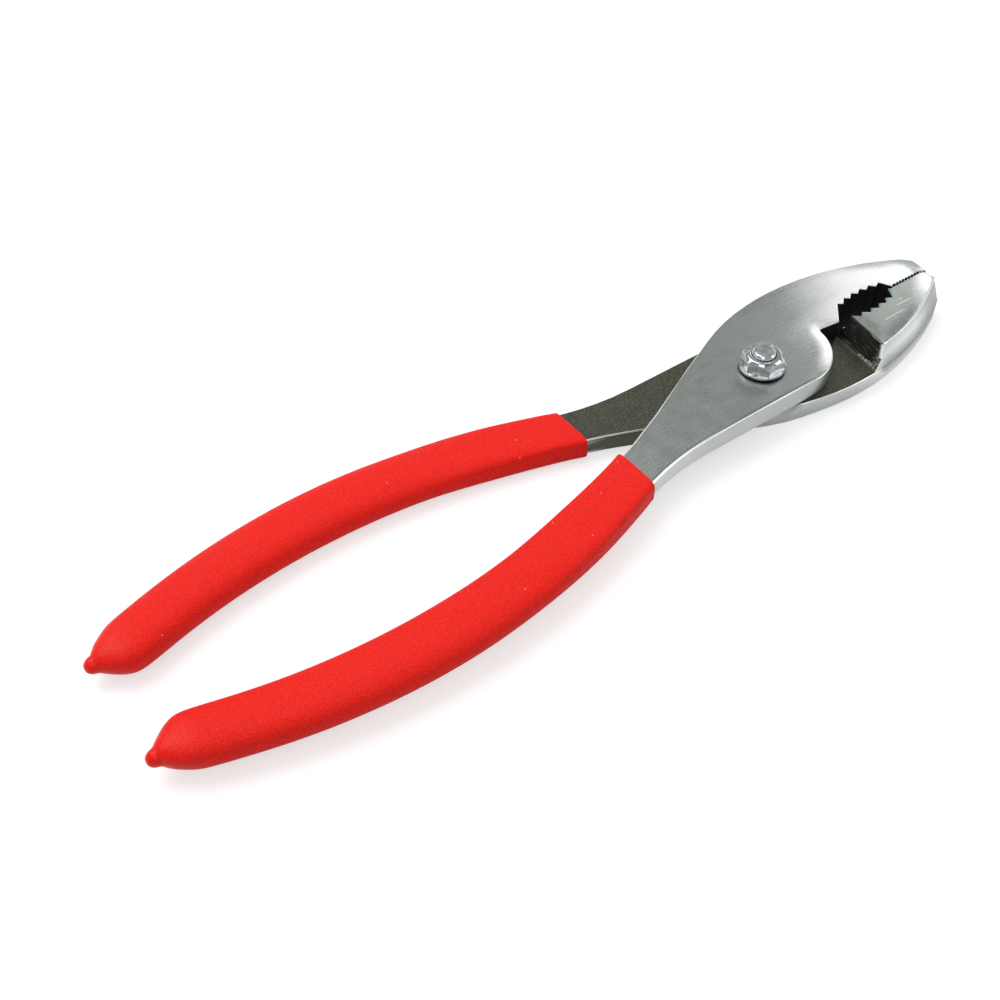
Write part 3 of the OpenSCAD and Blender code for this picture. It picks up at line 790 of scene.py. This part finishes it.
def finish_of(p, n, out, lap):
    """The finish of a lever's face by its middle p, its normal n, and the lever's side and lapped height."""
    at_lap = abs(p.z - lap) < 0.9 and n.z * out < -0.3
    near_top = p.z > HEAD_TOP - sag(p.x) - 1.3
    # Scale on the teeth, painted near black as well for the shade in the mouth
    if in_mouth(p) and abs(n.z) < 0.7 and n.x < 0.8:
        return SCALE_AND_SHADE
    if abs(p.z - lap) < 0.06 and n.z * out < -0.9:
        return SKIN
    # The rounded outer end of the wall in the recess, painted near white for its glint, and the wall itself
    if WALL_NEAR < p.x < 75 and -0.95 < n.x < -0.2 and n.y * out > 0.25 and abs(n.z) < 0.6:
        return EDGE
    if WALL_NEAR < p.x < WALL_FAR and n.x < -0.15 and (p.z - lap) * out < 0.0:
        return SKIN if n.z * out < -0.93 else SCRAPED
    # The throat behind the cutter, painted near black for its shade
    if 60 < p.x < 73 and abs(n.z) < 0.5 and -3 < p.y * out < 6 and n.x > -0.2:
        return SCALE_AND_SHADE
    # Rounded edges, painted near white as well for their highlight
    if 0.5 < abs(n.z) < 0.9 and p.x < 99 and (near_top or at_lap):
        return EDGE
    return TRIMMED if abs(n.z) < 0.9 else GROUND


def paint_lever(bm, upper):
    """Gives each face of a lever its finish, and marks the painted sheen of its walls, the skin kept on the
    neck's inner wall and the lighter parts of the wall in the recess.
    """
    out, lap = lap_side(upper)
    sheen_and_skin = bm.verts.layers.float["sheen_and_skin"]
    for face in bm.faces:
        face.material_index = finish_of(face.calc_center_median() / MM, face.normal, out, lap)
    for v in bm.verts:
        p = v.co / MM
        side = p.y * out
        if any(f.material_index == SCRAPED for f in v.link_faces):
            # The wall is lighter towards its outer end, and so is the fillet at its foot
            in_fillet = all(f.normal.z * out < -0.5 for f in v.link_faces)
            v[sheen_and_skin] = 0.6 * ease((side - 3) / 8) if in_fillet else 0.55 * ease((side - 10.2) / 2.6)
        if not all(f.material_index in (EDGE, TRIMMED) for f in v.link_faces):
            continue
        if p.x < 40 and all(f.normal.y * out > 0.5 for f in v.link_faces):
            # The neck's inner wall keeps its skin towards the grip
            v[sheen_and_skin] = -ease((34 - p.x) / 12)
        elif side < 4.5:
            # Painted sheen on the other walls, brighter towards the grip
            v[sheen_and_skin] = 0.25 + 0.2 * ease((34 - p.x) / 26)
        else:
            # Painted sheen on the jaw's back: brightest at its middle and along the parting line, where it
            # offsets the dark reflection of the floor's shadow
            level = 1 - ease(abs(p.z - lap) / 4.2)
            along = mix(0.3, 1.0, ease((p.x - 58) / 22)) * (1 - 0.75 * ease((p.x - 84) / 10))
            v[sheen_and_skin] = mix(0.45, 0.95, level) * along


def forged_lever(name, node, upper):
    """A lever: the CAD solid with its edges rounded as grinding and forging left them."""
    bm = cad_copy(node)
    bm = rounded(bm, edge_widths(bm, upper), 3)
    turn_under(bm, upper)
    flush_parting(bm, upper)
    cut_wall(bm, upper)
    outer = rank_tops(bm)
    grid_cut(bm)
    grind_tops(bm, upper, outer)
    paint_lever(bm, upper)
    ground = ground_steel("belt_ground_steel") if upper else ground_steel("scratched_ground_steel", SCRATCHES)
    others = (("blackened_forging_skin", forged_skin), ("hardening_scale_and_shade", black_scale_and_shade),
              ("rubbed_and_highlit_steel", bright_edge), ("press_trimmed_steel", trimmed_steel),
              ("scraped_hardening_scale", scraped_scale))
    piece = finish_piece(name, bm, [ground] + [shared(*other) for other in others], 32)
    keep_flat(piece, True)
    return piece


class PLIERS_OT_levers(bpy.types.Operator):
    """Builds the two levers: the upper one, and the lower one whose recess takes it."""

    bl_idname = "pliers.levers"
    bl_label = "Levers"

    def execute(self, context):
        upper = forged_lever("forged_upper_lever", "upper_lever", True)
        carried(upper, "upper_half", "upper_lever")
        lower = forged_lever("forged_lower_lever", "lower_lever", False)
        carried(lower, "lower_half", "lower_lever")
        return {"FINISHED"}


class PLIERS_OT_pivot(bpy.types.Operator):
    """Builds the shoulder bolt and its lock nut."""

    bl_idname = "pliers.pivot"
    bl_label = "Bolt and nut"

    def execute(self, context):
        s = context.scene.pliers_pivot
        sharp = math.radians(25)
        bm = cad_copy("pivot_bolt")
        bm = rounded(bm, {e: s.edge for e in bm.edges if e.calc_face_angle() > sharp}, 2)
        bolt = finish_piece("shoulder_bolt", bm, [zinc_plate("turned_zinc_plate", 0.02 * MM)], 30)
        keep_flat(bolt)
        carried(bolt, "pivot", "pivot_bolt")
        bm = cad_copy("pivot_nut")
        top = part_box("pivot_nut")[1].z
        widths = {}
        for edge in bm.edges:
            if edge.calc_face_angle() < sharp or edge.calc_face_angle_signed() < 0:
                continue
            p = middle(edge)
            bore = off_pivot(p) < 2.7
            widths[edge] = s.countersink if bore and p.z > top / MM - 0.1 else s.edge
            if p.z < HEAD_TOP + 0.1 and not bore:
                widths[edge] = s.foot
        bm = rounded(bm, widths, 2)
        for face in bm.faces:
            # Painted shade: the faces under the flange are near black for the contact shadow and dark
            # reflection in the seam
            low = face.calc_center_median().z < (HEAD_TOP + 0.4) * MM
            face.material_index = int(low and face.normal.z < -0.2)
        finishes = [zinc_plate("pressed_zinc_plate", 0.12 * MM), black_scale_and_shade("painted_seam_shade")]
        nut = finish_piece("lock_nut", bm, finishes, 30)
        keep_flat(nut)
        carried(nut, "pivot", "pivot_nut")
        return {"FINISHED"}


def next_ring(bm, edges):
    """Extrudes a ring from the edges of the last one, and returns its vertices and edges."""
    made = bmesh.ops.extrude_edge_only(bm, edges=edges)["geom"]
    verts = [g for g in made if isinstance(g, bmesh.types.BMVert)]
    new = set(verts)
    return verts, [g for g in made if isinstance(g, bmesh.types.BMEdge) and new.issuperset(g.verts)]


def section(bm, x):
    """Middle and half sizes, in Y and Z, of the solid bm where the plane at x cuts it."""
    geometry = bm.verts[:] + bm.edges[:] + bm.faces[:]
    cut = bmesh.ops.bisect_plane(bm, geom=geometry, dist=1e-8, plane_co=(x, 0, 0), plane_no=(1, 0, 0))
    points = [g.co for g in cut["geom_cut"] if isinstance(g, bmesh.types.BMVert)]
    ys = [p.y for p in points]
    zs = [p.z for p in points]
    return ((min(ys) + max(ys)) / 2, (min(zs) + max(zs)) / 2,
            (max(ys) - min(ys)) / 2, (max(zs) - min(zs)) / 2)


def eased_section(bm, x, reach):
    """The section at x, averaged with those within reach, which rounds off a corner of the outline."""
    cuts = [section(bm, x + share * reach) for share in (-1, -0.5, 0, 0.5, 1)]
    return [sum(values) / len(cuts) for values in zip(*cuts)]


def bulge(v, square):
    """Share of a half size that a rounded section of that squareness has at the cosine or sine v."""
    return math.copysign(abs(v) ** (2 / square), v)


def lay_ring(verts, turn, x, y, z, a, b, square):
    """Lays the vertices of one ring of a grip on its section at x."""
    for v in verts:
        t = v[turn]
        v.co = (x, y + a * bulge(math.cos(t), square), z + b * bulge(math.sin(t), square))


def dipped_grip(name, node, lever):
    """A grip: rings swept along the CAD sleeve from front edge to drip nub, with the bar's bed inside."""
    s = bpy.context.scene.pliers_grip
    low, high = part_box(node)
    front, end = high.x, low.x
    sleeve = cad_copy(node)
    bar = cad_copy(lever)
    bm = bmesh.new()
    turn = bm.verts.layers.float.new("turn")
    sides = 40
    ring = bmesh.ops.create_circle(bm, segments=sides, radius=1.0)["verts"]
    for k, v in enumerate(ring):
        v[turn] = 2 * math.pi * (k + 0.5) / sides
    edges = bm.edges[:]
    # The bed of the bar, from its inner end to the front edge
    inner = front - BED_DEPTH * MM
    lay_ring(ring, turn, inner, *section(bar, inner), BAR_SQUARE)
    bottom = edges[:]
    for back in (8, 1, 0.3):
        verts, edges = next_ring(bm, edges)
        x = front - back * MM
        lay_ring(verts, turn, x, *section(bar, x), BAR_SQUARE)
    verts, edges = next_ring(bm, edges)
    y, z, a, b = section(bar, front + 0.01 * MM)
    lay_ring(verts, turn, front, y, z, a - 0.02 * MM, b - 0.02 * MM, BAR_SQUARE)
    # The cut front edge
    y, z, a, b = section(sleeve, front - 0.02 * MM)
    for inset, back in ((s.rim, 0), (s.rim * 0.3, s.rim * 0.3), (0, s.rim), (0, 2.2 * s.rim)):
        verts, edges = next_ring(bm, edges)
        lay_ring(verts, turn, front - back, y, z, a - inset, b - inset, s.front_square)
    # The skin, back to the nub
    tail = (9.5, 8, 7.2, 6.2, 5.2, 4.2, 3.3, 2.7, 2.2, 1.8, 1.4, 1.0, 0.6, 0.3, 0.1)
    spots = [front - (2 + 3.4 * k) * MM for k in range(28)] + [end + d * MM for d in tail]
    for x in spots:
        verts, edges = next_ring(bm, edges)
        # Less reach at the front edge and at the nub, whose neck stays as it is
        reach = max(0.0, min(s.tail_ease, front - x - 0.1 * MM, x - end - 2.2 * MM))
        square = mix(s.front_square, s.middle_square, ease((front - x) / s.swell))
        # The nub is round
        square = mix(2.0, square, ease((x - end - 2 * MM) / (6 * MM)))
        lay_ring(verts, turn, x, *eased_section(sleeve, x, reach), square)
    bmesh.ops.edgeloop_fill(bm, edges=edges)
    bmesh.ops.edgeloop_fill(bm, edges=bottom)
    bmesh.ops.recalc_face_normals(bm, faces=bm.faces)
    sleeve.free()
    bar.free()
    piece = finish_piece(name, bm, [shared("dipped_red_vinyl", dipped_vinyl)], 180)
    skin = piece.modifiers.new("smooth skin", "SUBSURF")
    skin.levels = 1
    skin.render_levels = 1
    return piece


class PLIERS_OT_grips(bpy.types.Operator):
    """Builds the two dipped grips."""

    bl_idname = "pliers.grips"
    bl_label = "Grips"

    def execute(self, context):
        upper = dipped_grip("upper_vinyl_grip", "upper_grip", "upper_lever")
        carried(upper, "upper_half", "upper_grip")
        lower = dipped_grip("lower_vinyl_grip", "lower_grip", "lower_lever")
        carried(lower, "lower_half", "lower_grip")
        return {"FINISHED"}


def set_up(name, data, spot, way):
    """A light or camera of that data, at spot and looking that way."""
    made = bpy.data.objects.new(name, data)
    made.location = spot
    made.rotation_mode = "QUATERNION"
    made.rotation_quaternion = way.to_track_quat("-Z", "Y")
    bpy.context.scene.collection.objects.link(made)
    return made


def soft_box(name, spot, aim, width, power):
    """A square, soft studio light at spot that points at aim."""
    data = bpy.data.lights.new(name, "AREA")
    data.shape = "RECTANGLE"
    data.size = data.size_y = width
    data.energy = power
    set_up(name, data, spot, Vector(aim) - Vector(spot))


class PLIERS_OT_stage(bpy.types.Operator):
    """Sets the floor, the light and the camera."""

    bl_idname = "pliers.stage"
    bl_label = "Stage"

    def execute(self, context):
        s = context.scene.pliers_stage
        scene = context.scene
        scene.view_settings.view_transform = "Standard"
        # Floor: a matt white sweep that shows white to the camera and keeps its shadows
        bm = bmesh.new()
        bmesh.ops.create_circle(bm, cap_ends=True, segments=96, radius=5.0)
        rim = bm.edges[:]
        for rise, out in ((0.15, 1.06), (0.45, 1.04), (1.0, 1.02)):
            verts, rim = next_ring(bm, rim)
            for v in verts:
                v.co = (v.co.x * out, v.co.y * out, rise)
        paper = bpy.data.materials.new("white_paper_sweep")
        paper.use_nodes = True
        tree = paper.node_tree
        tree.nodes.clear()
        matt = add_node(tree, "ShaderNodeBsdfDiffuse", {"Color": s.floor})
        rays = add_node(tree, "ShaderNodeLightPath")
        mirrored = add_node(tree, "ShaderNodeMath", {
            0: rays.outputs["Is Glossy Ray"], 1: rays.outputs["Is Transmission Ray"]}, operation="MAXIMUM")
        seen = add_node(tree, "ShaderNodeMath", {
            0: rays.outputs["Is Camera Ray"], 1: mirrored.outputs["Value"]}, operation="MAXIMUM")
        # The lift grows from 0.7 m to 1.6 m off the tool, where the lamps no longer reach
        place = add_node(tree, "ShaderNodeTexCoord").outputs["Object"]
        away = add_node(tree, "ShaderNodeVectorMath", {0: place}, operation="LENGTH")
        grown = add_node(tree, "ShaderNodeMapRange", {
            "Value": away.outputs["Value"], "From Min": 0.7, "From Max": 1.6,
            "To Min": s.lift, "To Max": s.lift + s.far_lift})
        lift = add_node(tree, "ShaderNodeMath", {
            0: seen.outputs["Value"], 1: grown.outputs["Result"]}, operation="MULTIPLY")
        glow = add_node(tree, "ShaderNodeEmission", {
            "Color": (1, 1, 1, 1), "Strength": lift.outputs["Value"]})
        both = add_node(tree, "ShaderNodeAddShader", {0: matt.outputs["BSDF"], 1: glow.outputs["Emission"]})
        add_node(tree, "ShaderNodeOutputMaterial", {"Surface": both.outputs["Shader"]})
        floor = finish_piece("floor", bm, [paper], 180)
        # Even light from all round
        world = bpy.data.worlds.new("studio")
        world.use_nodes = True
        feed(world.node_tree.nodes["Background"], {"Color": (1, 1, 1, 1), "Strength": s.sky})
        scene.world = world
        # A broad light overhead, a smaller one behind the jaws, and dim ones at the right and over the camera
        soft_box("overhead", (-0.2, 0.5, 1.0), (0, 0, 0), 0.9, 8.2)
        soft_box("behind_jaws", (0.85, 0.42, 0.46), (0.05, 0, 0), 0.3, 0.56)
        soft_box("right", (0.8, -0.5, 0.5), (0.03, 0, 0), 0.5, 1.3)
        soft_box("over_camera", (-0.5, -0.42, 0.85), (0, 0, 0), 0.4, 1.0)
        # Camera at the photograph's place
        data = bpy.data.cameras.new("camera")
        data.sensor_fit = "HORIZONTAL"
        data.angle = s.view_angle
        data.clip_start = 0.01
        data.clip_end = 20
        level = math.cos(CAMERA_DIP)
        way = Vector((0.592 * level, 0.806 * level, -math.sin(CAMERA_DIP)))
        scene.camera = set_up("camera", data, CAMERA_SPOT * MM, way)
        return {"FINISHED"}


class PLIERS_PT_panel(bpy.types.Panel):
    """Lists the settings and the pieces."""

    bl_idname = "PLIERS_PT_panel"
    bl_label = "Slip joint pliers"
    bl_space_type = "VIEW_3D"
    bl_region_type = "UI"
    bl_category = "Pliers"

    def draw(self, context):
        for group in SETTINGS:
            box = self.layout.box()
            box.label(text=group.replace("pliers_", "").capitalize())
            held = getattr(context.scene, group)
            for name in held.bl_rna.properties.keys():
                if name not in ("rna_type", "name"):
                    box.prop(held, name)
        for operator in PIECES:
            self.layout.operator(operator.bl_idname)


SETTINGS = {
    "pliers_forging": ForgingSettings,
    "pliers_pivot": PivotSettings,
    "pliers_grip": GripSettings,
    "pliers_stage": StageSettings,
}
PIECES = (PLIERS_OT_levers, PLIERS_OT_pivot, PLIERS_OT_grips, PLIERS_OT_stage)


def register():
    """Registers the settings, the operators and the panel."""
    for name, group in SETTINGS.items():
        bpy.utils.register_class(group)
        setattr(bpy.types.Scene, name, bpy.props.PointerProperty(type=group))
    for operator in PIECES:
        bpy.utils.register_class(operator)
    bpy.utils.register_class(PLIERS_PT_panel)


def unregister():
    """Removes what register added."""
    bpy.utils.unregister_class(PLIERS_PT_panel)
    for operator in reversed(PIECES):
        bpy.utils.unregister_class(operator)
    for name, group in SETTINGS.items():
        delattr(bpy.types.Scene, name)
        bpy.utils.unregister_class(group)


def main():
    """Registers the add-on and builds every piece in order."""
    register()
    for name in ("stage", "levers", "pivot", "grips"):
        getattr(bpy.ops.pliers, name)()


if __name__ == "__main__":
    main()
